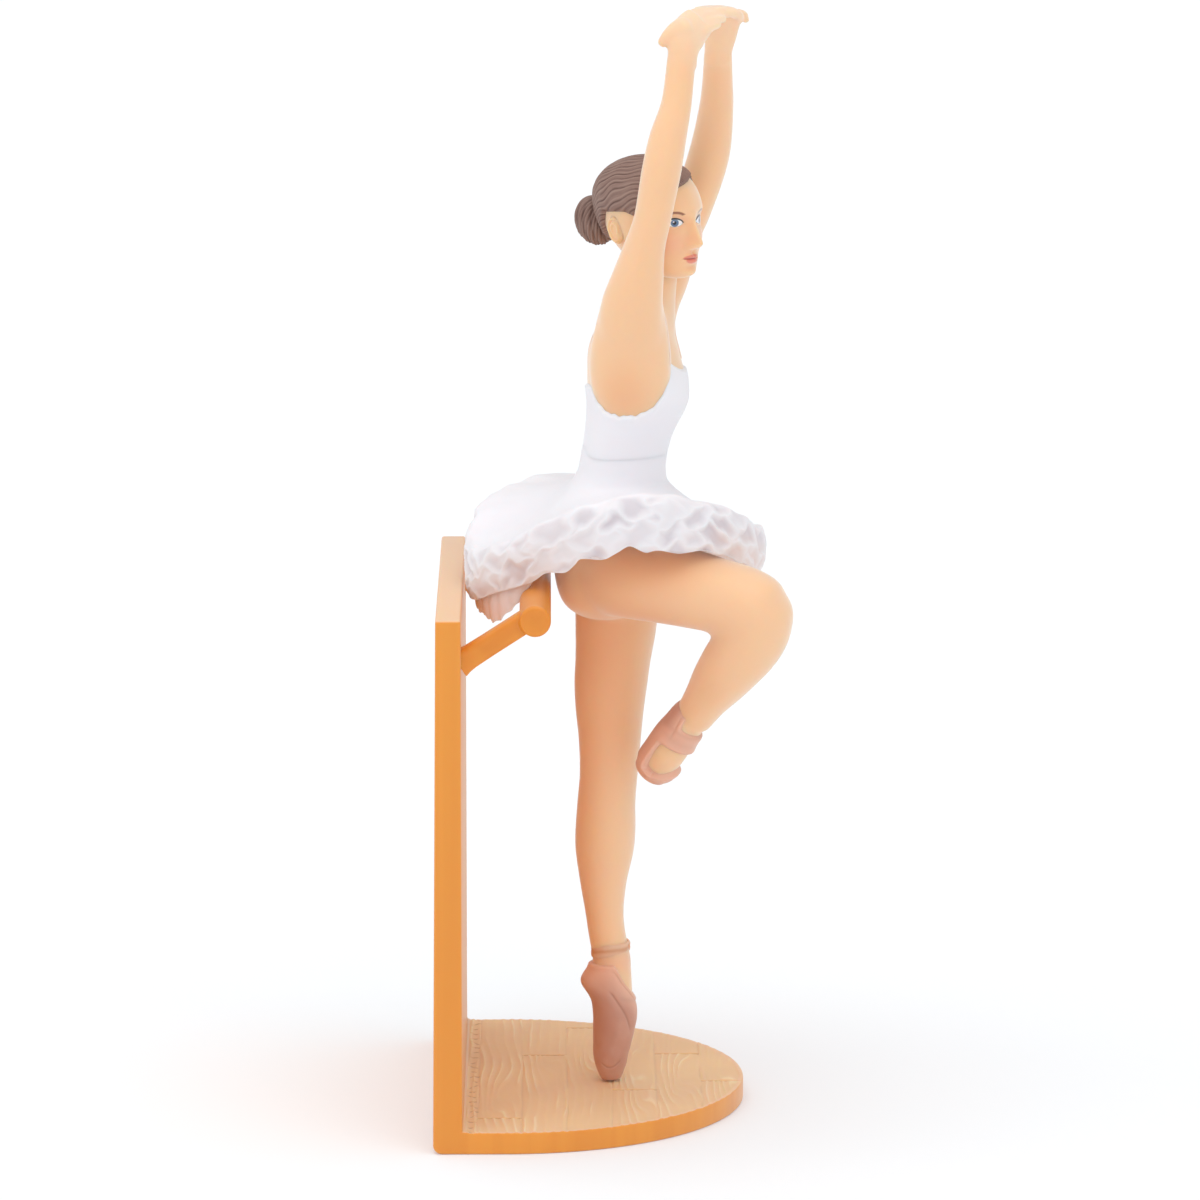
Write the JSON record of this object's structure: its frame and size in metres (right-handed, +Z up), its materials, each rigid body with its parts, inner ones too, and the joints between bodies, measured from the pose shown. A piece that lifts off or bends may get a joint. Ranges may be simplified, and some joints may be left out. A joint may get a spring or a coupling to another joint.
{
  "type": "ballerina figurine",
  "caption": "Toy ballerina on one toe, arms raised, in a white tutu, on a moulded stand with a floor, an upright panel and a practice barre.",
  "frame": {"origin": "middle of the stand's flat underside", "axes": "+Z up, +X the way the dancer faces, away from the panel; the picture looks along +Y"},
  "size_m": [0.0404, 0.0538, 0.1255],
  "materials": {
    "figure_skin": "moulded plastic in a warm skin colour, satin",
    "dress_white": "matte white paint with a faint lilac shade",
    "hair_brown": "matte dark brown paint",
    "shoe_pink": "satin dusty pink paint",
    "stand_plastic": "orange brown moulded plastic, satin, with a pale wash on the floor"
  },
  "bodies": {
    "root": {"ballerina": "figure_skin", "stand": "stand_plastic", "barre": "stand_plastic"}
  },
  "joints": []
}
